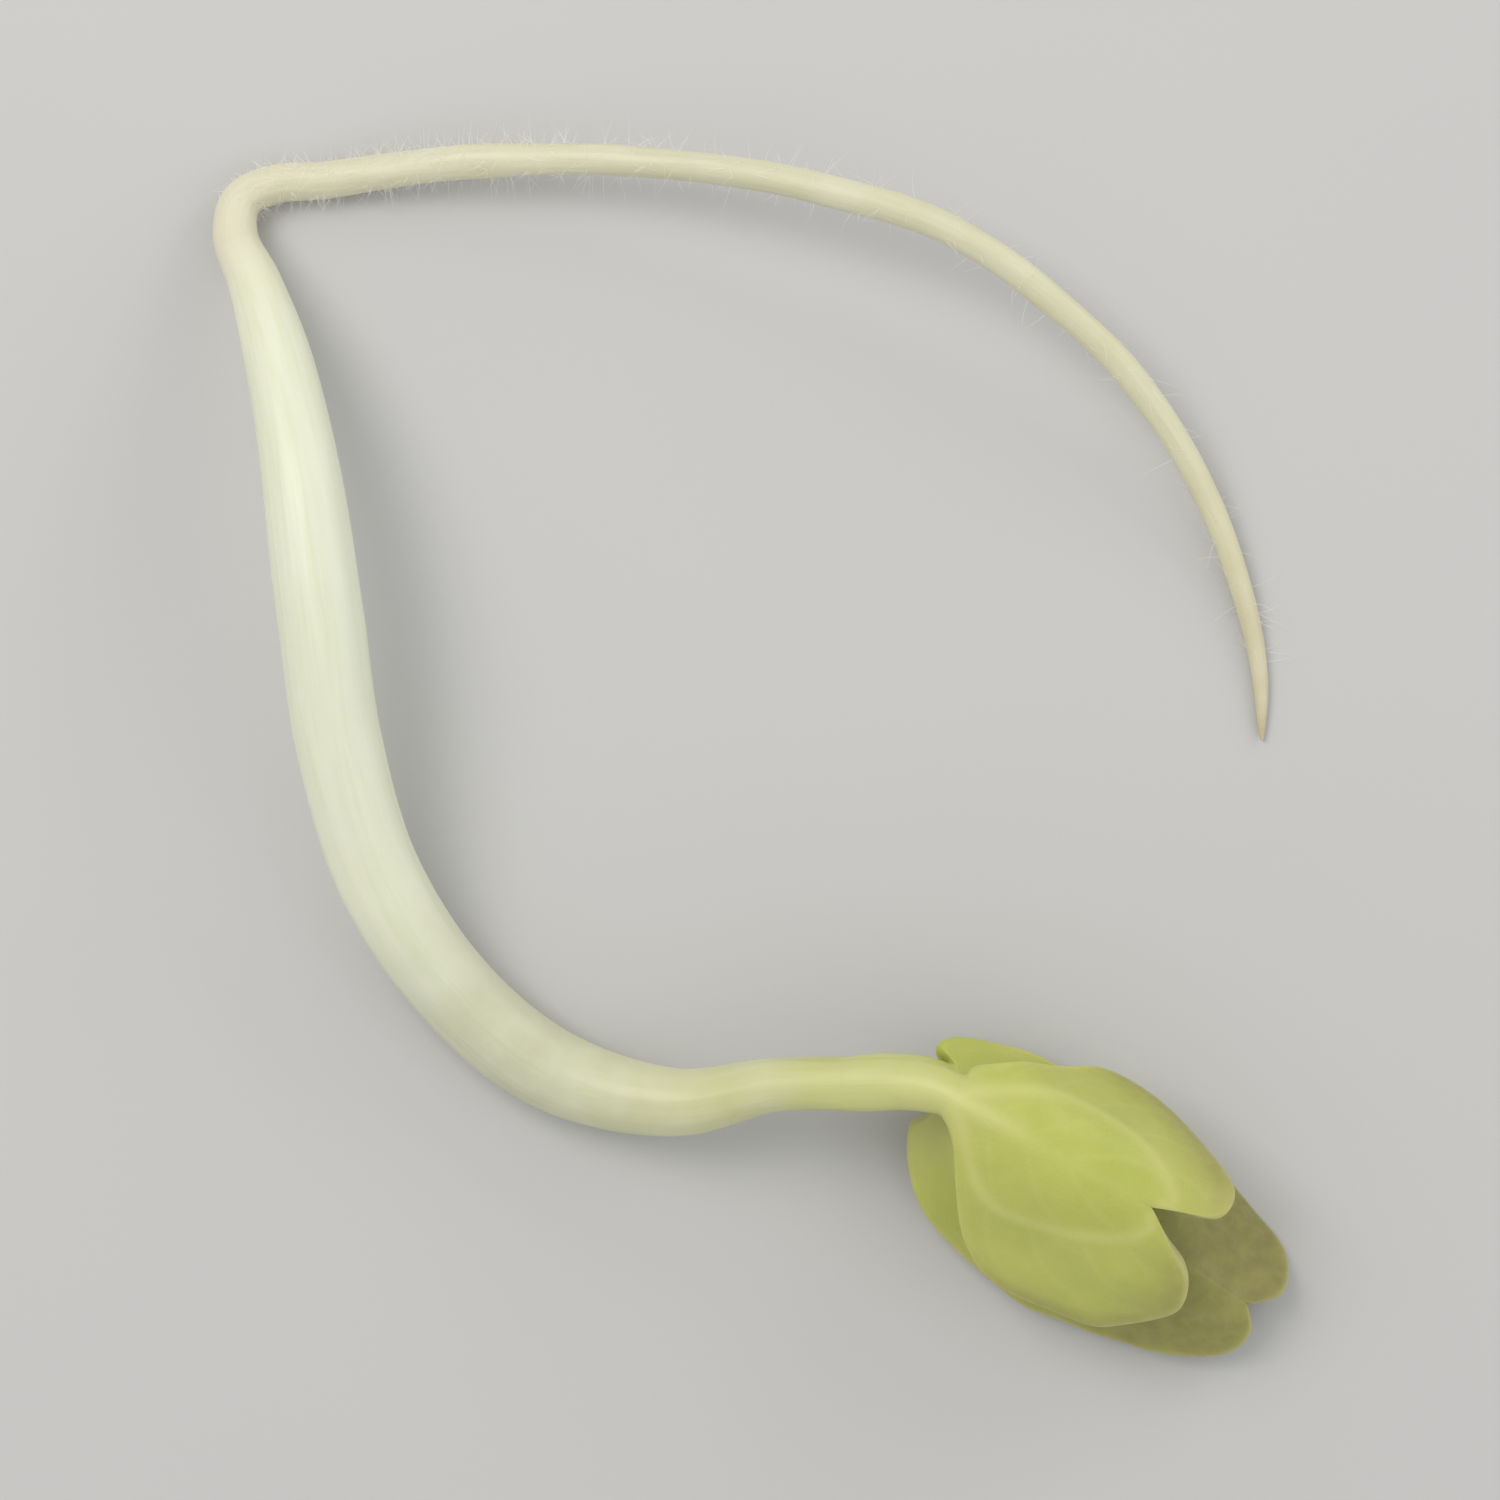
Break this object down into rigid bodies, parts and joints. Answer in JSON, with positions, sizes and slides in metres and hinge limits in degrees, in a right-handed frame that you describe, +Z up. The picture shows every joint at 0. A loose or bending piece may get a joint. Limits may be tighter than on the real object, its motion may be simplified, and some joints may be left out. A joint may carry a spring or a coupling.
{
  "type": "radish sprout",
  "caption": "Radish sprout laid on its side, with a long looping white stem, folded notched seed leaves and a thin hooked taproot.",
  "frame": {"origin": "centre of the sprout's bounding box seen from above, at the level of the surface it lies on", "axes": "+Z up from the surface; +X from the stem's loop towards the seed leaves; +Y from the seed leaves towards the root's arch"},
  "size_m": [0.0236, 0.0264, 0.0047],
  "materials": {
    "stem": "satin",
    "root": "satin",
    "outer_leaf": "satin",
    "inner_leaf": "satin",
    "bud": "satin"
  },
  "bodies": {
    "root": {"hypocotyl": "stem", "taproot": "root", "outer_cotyledon": "outer_leaf", "inner_cotyledon": "inner_leaf", "first_leaf_bud": "bud"}
  },
  "joints": []
}
